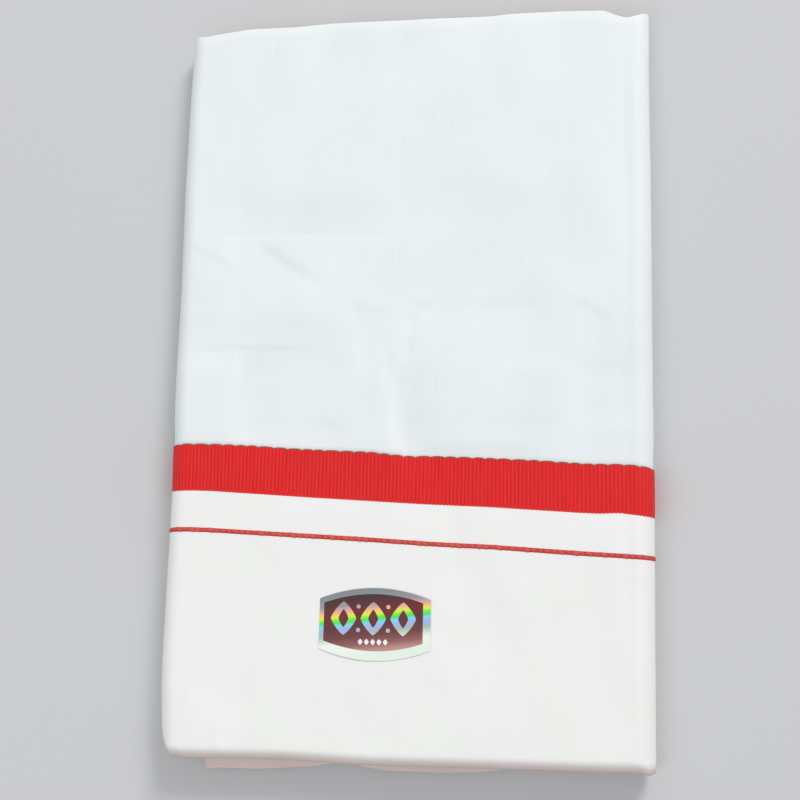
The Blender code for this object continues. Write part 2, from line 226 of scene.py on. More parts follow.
def step_height(step, x, y):
    """One soft step across its path, which levels out again on both sides."""
    left, past_end, strength = along_path(step.path, x, y)
    share = left / step.width
    past_step = np.maximum(np.abs(share) - 1.0, 0.0)
    share = share - np.sign(share) * past_step * (1.0 - 1.0 / LEVELLING)
    strength = strength * np.exp(-((past_end / step.width) ** 2))
    return step.rise / 2 * strength * share * np.exp((1.0 - share**2) / 2)


def relief(x, y):
    """How far the pressed cloth stands up from the stack's plain top."""
    height = np.full(np.shape(x), LOFT)
    for turn, length, start in zip(swell_turns, swell_lengths, swell_starts):
        across = x * math.cos(turn) + y * math.sin(turn)
        height = height + SWELL_HEIGHT * np.sin(2 * math.pi * across / length + start)
    for crease in CREASES:
        height = height + crease_height(crease, x, y)
    for step in STEPS:
        height = height + step_height(step, x, y)
    from_near = y - near_end(x)
    from_far = far_end(x) - y
    height = height - NEAR_DROOP * (1.0 - eased(from_near / DROOP_REACH)) ** 2
    return height - FAR_DROOP * (1.0 - eased(from_far / DROOP_REACH)) ** 2


def station(s):
    """A distance round the stack from the middle of its top, as shares: along the flat, sideways, up."""
    side = np.where(np.asarray(s) < 0.0, -1.0, 1.0)
    past_flat = np.abs(s) - HALF_RUN
    turn = np.clip(past_flat / (NEAR_HEIGHT / 2), 0.0, math.pi)
    under = np.clip((past_flat - SPINE_ARC) / HALF_RUN, 0.0, 1.0)
    run = np.where(past_flat < 0.0, np.abs(s) / HALF_RUN, 1.0 - under)
    return side * run, side * np.sin(turn), np.cos(turn)


def plain_x(s):
    """The x of a distance round the stack's plain near part."""
    run, sideways, _ = station(s)
    return run * HALF_RUN + NEAR_HEIGHT / 2 * sideways


def woven_line(line, x):
    """The y of a line across the flap, which slopes because the cloth was folded askew."""
    return line.y + SKEW * x + np.interp(x, *zip(*line.strays))


# How far the left and the right spine lie out from straight, as (y, out) pairs.
LEFT_SIDE = [
    (-0.1840, -0.0026), (-0.1735, -0.0021), (-0.1640, -0.0013), (-0.1500, -0.0004),
    (-0.1380, -0.0001), (-0.1040, -0.0004), (-0.0800, -0.0007), (-0.0550, -0.0009),
    (-0.0300, -0.0004), (-0.0030, 0.0002), (0.0480, -0.0002), (0.1000, 0.0004),
    (0.1500, 0.0), (0.1900, -0.0008),
]
RIGHT_SIDE = [
    (-0.1840, 0.0005), (-0.1640, 0.0006), (-0.1040, 0.0009), (-0.0550, 0.0013),
    (-0.0030, 0.0010), (0.0480, 0.0011), (0.1000, 0.0012), (0.1500, 0.0008),
    (0.1900, 0.0012),
]


def on_stack(s, y, out, lofted=1.0):
    """Points at distances s round the stack and y along it, lifted out from its plain face."""
    run, sideways, upward = station(s)
    taper = np.clip((y - SELVEDGE.y - STEP_END) / (FAR_Y - SELVEDGE.y - STEP_END), 0.0, 1.0)
    height = NEAR_HEIGHT + taper * (FAR_HEIGHT - NEAR_HEIGHT)
    radius = height / 2 + out
    x = run * (STACK_WIDTH - height) / 2 + radius * sideways
    left_out = np.interp(y, *zip(*LEFT_SIDE))
    right_out = np.interp(y, *zip(*RIGHT_SIDE))
    x = x + np.where(x < 0.0, -left_out, right_out) * eased(np.abs(x) / (STACK_WIDTH / 2)) ** 4
    z = height / 2 + radius * upward
    z = z + lofted * np.clip(upward, 0.0, 1.0) ** 2 * relief(x, y)
    return np.stack([x, y, z], axis=-1)


def linear(red, green, blue):
    """A colour that was read as 0 to 255, for a shader's socket."""
    parts = (part / 255.0 for part in (red, green, blue))
    return tuple(p / 12.92 if p <= 0.04045 else ((p + 0.055) / 1.055) ** 2.4 for p in parts) + (1.0,)


def add_node(tree, kind, inputs=None, **settings):
    """A node with its settings, and each input linked or given its value."""
    node = tree.nodes.new(kind)
    for name, value in settings.items():
        setattr(node, name, value)
    for name, value in (inputs or {}).items():
        if isinstance(value, bpy.types.NodeSocket):
            tree.links.new(value, node.inputs[name])
        else:
            node.inputs[name].default_value = value
    return node


def figure(tree, operation, *numbers, clamped=False):
    """The outcome of a Math node on up to three numbers or sockets."""
    node = add_node(tree, "ShaderNodeMath", dict(enumerate(numbers)), operation=operation)
    node.use_clamp = clamped
    return node.outputs["Value"]


def new_material(name, finish):
    """A material with the plain part of its finish, and its node tree and shader."""
    material = bpy.data.materials.new(name)
    material.use_nodes = True
    shader = material.node_tree.nodes["Principled BSDF"]
    for socket, value in finish.items():
        shader.inputs[socket].default_value = value
    return material, material.node_tree, shader


def blended(tree, factor, first, second):
    """One colour turning into another. Each is a socket or a plain colour."""
    inputs = {"Factor": factor, "A": first, "B": second}
    return add_node(tree, "ShaderNodeMix", inputs, data_type="RGBA").outputs["Result"]


def ramped(tree, value, *stops):
    """The colour for a value, from (place, colour) stops in rising order."""
    ramp = add_node(tree, "ShaderNodeValToRGB", {"Fac": value})
    elements = ramp.color_ramp.elements
    for place, _ in stops[1:-1]:
        elements.new(place)
    for element, (place, colour) in zip(elements, stops):
        element.position = place
        element.color = colour
    return ramp.outputs["Color"]


def axes_of(tree, vector):
    """The X, Y and Z of a vector, by name."""
    return add_node(tree, "ShaderNodeSeparateXYZ", {"Vector": vector}).outputs


def make_object(name, mesh):
    piece = bpy.data.objects.new(name, mesh)
    bpy.context.scene.collection.objects.link(piece)
    return piece


THREAD = 0.00034  # from one yarn to the next

# How often the yarns vary, in cycles a metre round the stack and along it.
WARP_CYCLES = (1700.0, 95.0)
WEFT_CYCLES = (80.0, 1700.0)
SLUB_CYCLES = (430.0, 17.0)
SMALL_CLOUDS = (22.0, 15.0)
LARGE_CLOUDS = (9.0, 7.0)
TINT_CYCLES = (30.0, 22.0)
YARN_LEVEL = -0.3
# Painted light: the face is painted a little bluer, and the reverse that shows on the flap lighter and
# warmer, for the cooler light on the panel and the warmer light on the flap of the one white cloth.
FACE_WHITE = linear(238, 242, 243)
FACE_SHADE = linear(232, 236, 237)
FACE_TINT = linear(236, 241, 240)
REVERSE_LIT_WHITE = linear(246, 244, 243)
REVERSE_LIT_SHADE = linear(241, 240, 239)
REVERSE_LIT_TINT = linear(241, 242, 237)
TINT_START = 7.3  # where the tint's noise starts, so that it doesn't follow the clouds
TINT_CONTRAST = 3.0
TINT_LEVEL = -1.0
# Painted shade: the brown the cloth turns towards the near fold, which faces away from the light, and how
# strongly and how far.
FOLD_SHADE_BROWN = linear(178, 158, 148)
FOLD_SHADE = 0.8
FOLD_SHADE_REACH = 0.0055
COTTON_FINISH = {
    "Roughness": 0.86,
    "Specular IOR Level": 0.25,
    "Sheen Weight": 0.15,
    "Sheen Roughness": 0.5,
}


def woven_cotton(name, light, shade, tint, weave_height):
    """Plain-woven cotton: fine yarns both ways, uneven in thickness, faintly clouded and tinted, and browned
    towards the near fold as painted shade.
    """
    material, tree, shader = new_material(name, COTTON_FINISH)
    weave = add_node(tree, "ShaderNodeUVMap", uv_map="weave").outputs["UV"]

    def streaks(cycles, start=0.0):
        """Uneven yarns, as noise stretched along them."""
        stretched = add_node(tree, "ShaderNodeMapping", {
            "Vector": weave,
            "Location": (start, start, 0.0),
            "Scale": (*cycles, 1.0),
        })
        noise = {"Vector": stretched.outputs["Vector"], "Scale": 1.0, "Detail": 2.0, "Roughness": 0.6}
        return add_node(tree, "ShaderNodeTexNoise", noise, noise_dimensions="2D").outputs["Fac"]

    def summed(start, *shares):
        """Sockets added to a start, each times its share."""
        total = start
        for socket, share in shares:
            total = figure(tree, "MULTIPLY_ADD", socket, share, total)
        return total

    yarns = summed(
        YARN_LEVEL,
        (streaks(WARP_CYCLES), 1.3),
        (streaks(WEFT_CYCLES), 0.5),
        (streaks(SLUB_CYCLES), 0.6),
    )
    shading = summed(0.0, (yarns, 0.36), (streaks(SMALL_CLOUDS), 0.18), (streaks(LARGE_CLOUDS), 0.18))
    clouded = ramped(tree, shading, (0.42, shade), (0.77, light))
    patches = figure(tree, "MULTIPLY_ADD", streaks(TINT_CYCLES, TINT_START), TINT_CONTRAST, TINT_LEVEL)
    tinted = blended(tree, patches, clouded, tint)
    # Painted shade: brown mixed in towards the near fold, where the fold turns away from the light.
    fold = add_node(tree, "ShaderNodeAttribute", attribute_name="fold_shade").outputs["Fac"]
    painted_fold_shade = blended(tree, figure(tree, "MULTIPLY", fold, FOLD_SHADE), tinted, FOLD_SHADE_BROWN)
    tree.links.new(painted_fold_shade, shader.inputs["Base Color"])

    place = axes_of(tree, weave)
    warp = figure(tree, "SINE", figure(tree, "MULTIPLY", place["X"], math.pi / THREAD))
    weft = figure(tree, "SINE", figure(tree, "MULTIPLY", place["Y"], math.pi / THREAD))
    surface = summed(0.0, (figure(tree, "MULTIPLY", warp, weft), 0.2), (yarns, 1.0))
    bump = {"Height": surface, "Strength": 0.5, "Distance": weave_height}
    tree.links.new(add_node(tree, "ShaderNodeBump", bump).outputs["Normal"], shader.inputs["Normal"])
    return material


white_cotton = woven_cotton("white_cotton", FACE_WHITE, FACE_SHADE, FACE_TINT, weave_height=0.00006)
# The flap's reverse, painted lighter and warmer than the face: painted light.
cotton_reverse_painted_light = woven_cotton(
    "cotton_reverse_painted_light", REVERSE_LIT_WHITE, REVERSE_LIT_SHADE, REVERSE_LIT_TINT, weave_height=0.00005
)

FINE_STEP = 0.00125
SPINE_STEP = 0.0012
UNDER_STEP = 0.0060
FOLD_STEPS = 8
CUT_EDGE = math.radians(50.0)  # edges sharper than this are cut or woven ends of a ply
HIDDEN_DROP = 0.0004  # hidden faces lie this much deeper, so that no trough reaches them
HIDDEN_START = 0.006  # how far in from a fold they begin to


def stations_round():
    """Distances round the stack, once, close together where the cloth shows."""
    flat = np.linspace(-HALF_RUN, HALF_RUN, round(2 * HALF_RUN / FINE_STEP) + 1)
    spine = HALF_RUN + np.linspace(0.0, SPINE_ARC, round(SPINE_ARC / SPINE_STEP) + 1)[1:]
    under = HALF_RUN + SPINE_ARC + np.linspace(0.0, HALF_RUN, round(HALF_RUN / UNDER_STEP) + 1)[1:]
    right = np.concatenate([spine, under])
    return np.concatenate([-right[-2::-1], flat, right])


def outer_ply():
    """The section of the outer ply, row by row, from the flap's edge round both folds and back inside."""
    s = stations_round()
    x = plain_x(s)
    _, _, upward = station(s)
    near = near_end(x) + FOLD_RADIUS
    far = far_end(x) - FOLD_RADIUS
    flap_edge = woven_line(LINE_LOW, x)
    step_start = woven_line(SELVEDGE, x) + STEP_START
    step_end = woven_line(SELVEDGE, x) + STEP_END
    rows = []

    def row(y, out, lofted=1.0):
        rows.append((y, out + np.zeros_like(s), lofted))

    def settled(y, depth=PLY + PLY_GAP):
        """How deep the panel lies: as deep as under the flap at the selvedge, further on only on the top."""
        settling = eased((y - step_start) / (step_end - step_start))
        return -depth * (1.0 - settling * (1.0 - np.clip(upward, 0.0, 1.0)))

    def hairpin(centre, outward, radius, middle, start, end):
        """Rows round a fold, between two angles from the outer face (0) to the inner one (180)."""
        for i in range(1, FOLD_STEPS):
            turn = math.radians(start + (end - start) * i / FOLD_STEPS)
            row(centre + outward * radius * math.sin(turn), middle + radius * math.cos(turn))

    # The flap's face, the fold's outside, and the hidden lower face of the ply that it becomes.
    flap_rows = round(abs(LINE_LOW.y - NEAR_Y) / FINE_STEP)
    for i in range(flap_rows + 1):
        row(flap_edge + (near - flap_edge) * i / flap_rows, 0.0)
    hairpin(near, -1.0, FOLD_RADIUS, -FOLD_RADIUS, 0.0, 180.0)
    row(near, -2 * FOLD_RADIUS)
    row(near + HIDDEN_START, -2 * FOLD_RADIUS - HIDDEN_DROP, 0.0)
    row(step_start, -2 * FOLD_RADIUS - HIDDEN_DROP, 0.0)
    for share in (0.05, 0.35, 0.65, 0.93):
        y = step_end + (far - step_end) * share
        row(y, settled(y) - PLY - HIDDEN_DROP, 0.0)
    row(far, settled(far) - PLY)
    # The far fold: its inside, the ply that turns back, and its outside.
    middle = settled(far) - FOLD_RADIUS
    hairpin(far, 1.0, PLY_GAP / 2, middle, 0.0, 180.0)
    row(far, middle - PLY_GAP / 2)
    row(far - TURNED_BACK, middle - PLY_GAP / 2 - HIDDEN_DROP, 0.0)
    row(far - TURNED_BACK, middle - PLY_GAP / 2 - HIDDEN_DROP - PLY, 0.0)
    row(far, middle - PLY_GAP / 2 - PLY)
    hairpin(far, 1.0, FOLD_RADIUS, middle, 180.0, 0.0)
    # The panel's face, and the same face under the flap.
    panel_rows = round((FAR_Y - SELVEDGE.y) / FINE_STEP)
    for i in range(panel_rows, -1, -1):
        y = step_start + (far - step_start) * i / panel_rows
        row(y, settled(y))
    row(step_start - HIDDEN_START, -PLY - PLY_GAP - HIDDEN_DROP, 0.0)
    row(near + HIDDEN_START, -PLY - PLY_GAP - HIDDEN_DROP / 2, 0.0)
    row(near, -PLY - PLY_GAP)
    hairpin(near, -1.0, PLY_GAP / 2, -FOLD_RADIUS, 180.0, 0.0)
    row(near, -PLY)
    row(near + HIDDEN_START, -PLY - HIDDEN_DROP / 4, 0.0)
    row(flap_edge, -PLY - HIDDEN_DROP / 4, 0.0)
    return s, rows, flap_rows + FOLD_STEPS // 2


def ring_mesh(name, s, rows, flap_rows, face, reverse):
    """A closed wall round the stack from rows that run once round its section."""
    points = np.array([on_stack(s, y, out, lofted) for y, out, lofted in rows])
    row_count, around = len(rows), len(s)
    middle = np.argmin(np.abs(s))
    steps = np.linalg.norm(np.diff(points[:, middle], axis=0), axis=1)
    along = np.concatenate([[0.0], np.cumsum(steps)])
    along = np.append(along, along[-1] + PLY)
    s_next = np.append(s, s[0] + GIRTH)
    r, i = np.meshgrid(np.arange(row_count), np.arange(around), indexing="ij")
    r, i = r.ravel(), i.ravel()
    corners = [(r, i), (r, i + 1), (r + 1, i + 1), (r + 1, i)]
    faces = np.stack([(cr % row_count) * around + ci % around for cr, ci in corners], axis=1)
    mesh = bpy.data.meshes.new(name)
    mesh.from_pydata(points.reshape(-1, 3).tolist(), [], faces.tolist())
    weave = mesh.uv_layers.new(name="weave")
    uvs = np.stack([np.stack([s_next[ci], along[cr]], axis=1) for cr, ci in corners], axis=1)
    weave.data.foreach_set("uv", uvs.ravel())
    mesh.materials.append(face)
    mesh.materials.append(reverse)
    mesh.polygons.foreach_set("material_index", (r < flap_rows).astype(np.int32))
    # Painted shade towards the near fold: 1 at the fold, fading to 0 over its reach.
    from_fold = np.array([y for y, _, _ in rows]) - near_end(plain_x(s))
    painted_fold_shade = mesh.attributes.new("fold_shade", "FLOAT", "POINT")
    painted_fold_shade.data.foreach_set("value", (1.0 - eased(from_fold / FOLD_SHADE_REACH)).ravel())
    mesh.shade_smooth()
    mesh.set_sharp_from_angle(angle=CUT_EDGE)
    return mesh


def mend(mesh, merge=False, turn_out=False):
    """Merges the points of a mesh that lie on one another, or turns its faces outwards, or both."""
    bm = bmesh.new()
    bm.from_mesh(mesh)
    if merge:
        bmesh.ops.remove_doubles(bm, verts=bm.verts[:], dist=1e-6)
    if turn_out:
        bmesh.ops.recalc_face_normals(bm, faces=bm.faces[:])
    bm.to_mesh(mesh)
    bm.free()


ply_s, ply_rows, rows_on_flap = outer_ply()
cloth_mesh = ring_mesh("outer_cloth", ply_s, ply_rows, rows_on_flap, white_cotton, cotton_reverse_painted_light)
mend(cloth_mesh, turn_out=True)
body_cloth = make_object("outer_cloth", cloth_mesh)
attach(body_cloth, "root")
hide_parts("body_cloth")

# The coloured border and line are woven in one with the cloth, with dyed warp. Between them runs
# a white margin. All are the flap's own ply, so each is a strip once round the stack, made flat
# and then laid on it. The warp of the border is thick, and stands up in ribs across its width.

STRIP_ROW = 0.0018
LINE_HIGH = Line(-0.0777, CORD_STRAYS)
BAND_LOW = Line(-0.0600, [
    (-0.1166, -0.0008), (-0.1117, -0.0006), (-0.1043, -0.0001), (-0.0945, 0.0002),
    (-0.0749, 0.0), (-0.0454, -0.0003), (0.0086, -0.0005), (0.0430, -0.0001),
    (0.0823, -0.0005), (0.0921, -0.0004), (0.1019, 0.0004), (0.1092, -0.0002),
    (0.1180, -0.0006),
])


def new_tree(name, inputs):
    """A Geometry Nodes tree with named inputs of these kinds, and the sockets that they come from."""
    tree = bpy.data.node_groups.new(name, "GeometryNodeTree")
    for label, kind in inputs.items():
        tree.interface.new_socket(name=label, in_out="INPUT", socket_type="NodeSocket" + kind)
    tree.interface.new_socket(name="Geometry", in_out="OUTPUT", socket_type="NodeSocketGeometry")
    return tree, add_node(tree, "NodeGroupInput").outputs


def stored(tree, geometry, name, value, kind="FLOAT", domain="POINT"):
    """The geometry with a named attribute."""
    return add_node(tree, "GeometryNodeStoreNamedAttribute", {
        "Geometry": geometry,
        "Name": name,
        "Value": value,
    }, data_type=kind, domain=domain).outputs["Geometry"]


def position_in(tree):
    return add_node(tree, "GeometryNodeInputPosition").outputs["Position"]


def end_tree(tree, geometry, material):
    """Ends a tree with plain smooth meshes, mapped as they lie flat, in their material."""
    mapped = stored(tree, geometry, "weave", position_in(tree), kind="FLOAT2", domain="CORNER")
    smooth = add_node(tree, "GeometryNodeSetShadeSmooth", {"Geometry": mapped})
    real = add_node(tree, "GeometryNodeRealizeInstances", {"Geometry": smooth.outputs["Geometry"]})
    finished = add_node(tree, "GeometryNodeSetMaterial", {
        "Geometry": real.outputs["Geometry"],
        "Material": material,
    })
    add_node(tree, "NodeGroupOutput", {"Geometry": finished.outputs["Geometry"]})


def strip_tree():
    """A flat woven strip, long side along X, with ribs across it that are uneven in height."""
    tree, given = new_tree("Woven strip", {
        "Length": "Float",
        "Width": "Float",
        "Columns": "Int",
        "Rows": "Int",
        "Rib Pitch": "Float",
        "Rib Height": "Float",
        "Seed": "Int",
        "Material": "Material",
    })
    grid = add_node(tree, "GeometryNodeMeshGrid", {
        "Size X": given["Length"],
        "Size Y": given["Width"],
        "Vertices X": given["Columns"],
        "Vertices Y": given["Rows"],
    })
    place = axes_of(tree, position_in(tree))
    from_start = figure(tree, "ADD", place["X"], figure(tree, "MULTIPLY", given["Length"], 0.5))
    rib = figure(tree, "DIVIDE", from_start, given["Rib Pitch"])
    wave = figure(tree, "SINE", figure(tree, "MULTIPLY", rib, math.pi))
    arch = figure(tree, "POWER", figure(tree, "ABSOLUTE", wave), 0.65)
    from_low = figure(tree, "ADD", place["Y"], figure(tree, "MULTIPLY", given["Width"], 0.5))
    flush = figure(tree, "MINIMUM", figure(tree, "DIVIDE", from_low, STRIP_ROW), 1.0)
    uneven = add_node(tree, "FunctionNodeRandomValue", {
        2: 0.75,
        3: 1.15,
        "ID": figure(tree, "FLOOR", figure(tree, "ADD", rib, 0.0001)),
        "Seed": given["Seed"],
    }).outputs[1]
    rib_height = figure(tree, "MULTIPLY", given["Rib Height"], flush)
    lift = figure(tree, "MULTIPLY", figure(tree, "MULTIPLY", arch, uneven), rib_height)
    raised = add_node(tree, "GeometryNodeSetPosition", {
        "Geometry": stored(tree, grid.outputs["Mesh"], "crest", arch),
        "Offset": add_node(tree, "ShaderNodeCombineXYZ", {"Z": lift}).outputs["Vector"],
    })
    end_tree(tree, raised.outputs["Geometry"], given["Material"])
    return tree


def grown(name, tree, values):
    """The plain mesh that a Geometry Nodes tree makes from these named values."""
    holder = bpy.data.objects.new(name, bpy.data.meshes.new(name + "_start"))
    bpy.context.scene.collection.objects.link(holder)
    modifier = holder.modifiers.new("made", "NODES")
    modifier.node_group = tree
    for item in tree.interface.items_tree:
        if item.in_out == "INPUT" and item.name in values:
            modifier[item.identifier] = values[item.name]
    evaluated = holder.evaluated_get(bpy.context.evaluated_depsgraph_get())
    mesh = bpy.data.meshes.new_from_object(evaluated)
    mesh.name = name
    bpy.data.objects.remove(holder, do_unlink=True)
    return mesh


def mesh_points(mesh):
    """The points of a mesh, a row for each."""
    points = np.empty(len(mesh.vertices) * 3)
    mesh.vertices.foreach_get("co", points)
    return points.reshape(-1, 3)


def put_on_stack(mesh, y_line):
    """Lays a mesh that was made flat (x round the stack, y along it, z outwards) on the stack."""
    s, y, out = mesh_points(mesh).T
    points = on_stack(s, y_line(plain_x(s), y), out)
    points[:, 2] = np.maximum(points[:, 2], 0.0)
    mesh.vertices.foreach_set("co", points.ravel())
    mesh.update()


def closed_ring(mesh, thickness):
    """Joins a strip's two ends and gives it the ply's thickness, inwards."""
    mend(mesh, merge=True)
    mesh.shade_smooth()
    piece = make_object(mesh.name, mesh)
    solidify = piece.modifiers.new("ply", "SOLIDIFY")
    solidify.thickness = thickness
    solidify.offset = -1.0
    solidify.use_even_offset = True
    evaluated = piece.evaluated_get(bpy.context.evaluated_depsgraph_get())
    piece.data = bpy.data.meshes.new_from_object(evaluated)
    piece.modifiers.clear()
    piece.data.set_sharp_from_angle(angle=CUT_EDGE)
    piece.data.name = mesh.name
    return piece


woven_strip = strip_tree()


def strip_between(name, low, high, material, columns, rib_pitch=1.0, rib_height=0.0, edge=None):
    """A strip of the flap between two lines woven across it, once round the stack."""
    width = high.y - low.y
    mesh = grown(name, woven_strip, {
        "Length": GIRTH,
        "Width": width,
        "Columns": columns + 1,
        "Rows": round(width / STRIP_ROW) + 1,
        "Rib Pitch": rib_pitch,
        "Rib Height": rib_height,
        "Seed": 5,
        "Material": material,
    })

    def y_line(x, y):
        share = y / width + 0.5
        top = woven_line(high, x)
        if edge is not None:
            top = top + edge(x)
        bottom = woven_line(low, x)
        return bottom + share * (top - bottom)

    put_on_stack(mesh, y_line)
    return closed_ring(mesh, PLY)


SMOOTH_COLUMNS = round(GIRTH / 0.0015)
flap_margin = strip_between("margin_strip", LINE_HIGH, BAND_LOW, cotton_reverse_painted_light, SMOOTH_COLUMNS)
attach(flap_margin, "root")
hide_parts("flap_margin")

# The border band is warp-faced: its thick dyed warp packs into upright ribs, and the weft shows
# only where it turns at the selvedge, which draws that edge into low scallops.

RIB_PITCH = GIRTH / round(GIRTH / 0.00182)
RIB_HEIGHT = 0.00015
RIB_COLUMNS = 6
SCALLOP_LENGTH = 0.0068
SCALLOP_HEIGHT = 0.0008
TOOTH = 0.00095  # how far the ribs' ends reach into the white margin
TOOTH_WHITE = linear(246, 202, 196)
# A thin brown line along the selvedge, partly the turning weft and partly painted shade of the free edge,
# and its width.
SELVEDGE_YARN = 0.00038
SELVEDGE_BROWN_SHADE = linear(164, 80, 62)
FIBRE_CYCLES = (1200.0, 60.0)
DYED_FINISH = {"Roughness": 0.75, "Specular IOR Level": 0.2, "Sheen Weight": 0.06}

scallop_ends = [-0.1180]
while scallop_ends[-1] < 0.1180:
    scallop_ends.append(scallop_ends[-1] + SCALLOP_LENGTH * rng.uniform(0.8, 1.2))


def scallops(x):
    """How far the selvedge bows out between the places where the weft draws it in."""
    place = np.searchsorted(scallop_ends, x, side="right")
    place = np.clip(place, 1, len(scallop_ends) - 1)
    start = np.array(scallop_ends)[place - 1]
    end = np.array(scallop_ends)[place]
    share = np.clip((x - start) / (end - start), 0.0, 1.0)
    return SCALLOP_HEIGHT * (np.sqrt(np.clip(4 * share * (1 - share), 0.0, 1.0)) - 0.5)


def dyed_cotton(name, light, dark, painted_crest_highlight, width=None):
    """Dyed yarn, with painted shade between the ribs and low on the beads, and a painted highlight on their
    crests. A strip of a given width has a selvedge and a toothed edge.
    """
    material, tree, shader = new_material(name, DYED_FINISH)
    weave = add_node(tree, "ShaderNodeUVMap", uv_map="weave").outputs["UV"]
    crest = add_node(tree, "ShaderNodeAttribute", attribute_name="crest").outputs["Fac"]
    stretched = add_node(tree, "ShaderNodeMapping", {"Vector": weave, "Scale": (*FIBRE_CYCLES, 1.0)})
    fibres = add_node(tree, "ShaderNodeTexNoise", {
        "Vector": stretched.outputs["Vector"],
        "Scale": 1.0,
        "Detail": 3.0,
    }, noise_dimensions="2D").outputs["Fac"]
    # Painted shade and highlight: lighter on the crests of the ribs and beads, darker between and below
    # them.
    lightness = figure(tree, "MULTIPLY_ADD", fibres, 0.5, figure(tree, "MULTIPLY", crest, 0.75))
    colour = ramped(tree, lightness, (0.20, dark), (0.80, light), (1.0, painted_crest_highlight))
    if width is not None:
        across = axes_of(tree, weave)["Y"]
        reach = figure(tree, "MULTIPLY_ADD", crest, 1.5, width / 2 / TOOTH)
        dyed = figure(tree, "MULTIPLY_ADD", across, 1.0 / TOOTH, reach, clamped=True)
        colour = blended(tree, dyed, TOOTH_WHITE, colour)
        # Along the selvedge a thin brown line: where the weft turns, darkened further as painted shade of
        # the edge.
        at_edge = 2.0 - width / 2 / SELVEDGE_YARN
        turned = figure(tree, "MULTIPLY_ADD", across, 1.0 / SELVEDGE_YARN, at_edge, clamped=True)
        colour = blended(tree, turned, colour, SELVEDGE_BROWN_SHADE)
    tree.links.new(colour, shader.inputs["Base Color"])
    bump = {"Height": fibres, "Strength": 0.4, "Distance": 0.00012}
    tree.links.new(add_node(tree, "ShaderNodeBump", bump).outputs["Normal"], shader.inputs["Normal"])
    return material


BAND_WIDTH = SELVEDGE.y - BAND_LOW.y
red_band = dyed_cotton("red_band", linear(224, 34, 36), linear(198, 30, 34), linear(230, 48, 46), BAND_WIDTH)
border_band = strip_between(
    "ribbed_band",
    BAND_LOW,
    SELVEDGE,
    red_band,
    columns=round(GIRTH / RIB_PITCH) * RIB_COLUMNS,
    rib_pitch=RIB_PITCH,
    rib_height=RIB_HEIGHT,
    edge=scallops,
)
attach(border_band, "root")
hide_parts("border_band")

# The thin line is a cord of thick dyed warp, woven in between two stretches of plain cloth. Its
# plies twist round each other and show as a run of slanting beads.

BEAD_PITCH = 0.00320
BEAD_LENGTH = 0.00215
BEAD_WIDTH = 0.00100
BEAD_HEIGHT = 0.00048
BEAD_SLANT = math.radians(-16.0)


def triple(tree, **parts):
    return add_node(tree, "ShaderNodeCombineXYZ", parts).outputs["Vector"]


def bead_tree():
    """A row of slanting beads along X, each a little different in size."""
    tree, given = new_tree("Corded line", {
        "Length": "Float",
        "Beads": "Int",
        "Bead Length": "Float",
        "Bead Width": "Float",
        "Bead Height": "Float",
        "Slant": "Float",
        "Seed": "Int",
        "Material": "Material",
    })
    pitch = figure(tree, "DIVIDE", given["Length"], given["Beads"])
    all_but_one = figure(tree, "SUBTRACT", given["Length"], pitch)
    places = add_node(tree, "GeometryNodeMeshLine", {
        "Count": given["Beads"],
        "Start Location": triple(tree, X=figure(tree, "MULTIPLY", all_but_one, -0.5)),
        "Offset": triple(tree, X=pitch),
    })
    ball = add_node(tree, "GeometryNodeMeshUVSphere", {"Segments": 8, "Rings": 7, "Radius": 1.0})
    bead = add_node(tree, "GeometryNodeTransform", {
        "Geometry": ball.outputs["Mesh"],
        "Scale": triple(tree, X=given["Bead Length"], Y=given["Bead Width"], Z=given["Bead Height"]),
    })
    size = add_node(tree, "FunctionNodeRandomValue", {2: 0.85, 3: 1.20, "Seed": given["Seed"]}).outputs[1]
    row = add_node(tree, "GeometryNodeInstanceOnPoints", {
        "Points": places.outputs["Mesh"],
        "Instance": bead.outputs["Geometry"],
        "Rotation": triple(tree, Z=given["Slant"]),
        "Scale": triple(tree, X=size, Y=size, Z=size),
    })
    real = add_node(tree, "GeometryNodeRealizeInstances", {"Geometry": row.outputs["Instances"]})
    crest = figure(tree, "DIVIDE", axes_of(tree, position_in(tree))["Z"], given["Bead Height"])
    end_tree(tree, stored(tree, real.outputs["Geometry"], "crest", crest), given["Material"])
    return tree


red_line = dyed_cotton("red_line", linear(208, 78, 68), linear(176, 54, 48), linear(214, 90, 80))
line_beads = grown("line_beads", bead_tree(), {
    "Length": GIRTH,
    "Beads": round(GIRTH / BEAD_PITCH),
    "Bead Length": BEAD_LENGTH,
    "Bead Width": BEAD_WIDTH,
    "Bead Height": BEAD_HEIGHT,
    "Slant": BEAD_SLANT,
    "Seed": 3,
    "Material": red_line,
})
line_middle = (LINE_LOW.y + LINE_HIGH.y) / 2
put_on_stack(line_beads, lambda x, y: woven_line(Line(line_middle, CORD_STRAYS), x) + y)
pin_line = strip_between("corded_line", LINE_LOW, LINE_HIGH, red_line, SMOOTH_COLUMNS)
bm = bmesh.new()
bm.from_mesh(pin_line.data)
bm.from_mesh(line_beads)
bm.to_mesh(pin_line.data)
bm.free()
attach(pin_line, "root")
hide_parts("pin_line")

# Inside the outer ply lie the other plies of the wound stack. Each turn of it shows at the ends
# as folds, one in the next, none quite level with its neighbours. Near the underside a few of
# them stick out at the near end, and the first of these starts with a square corner.

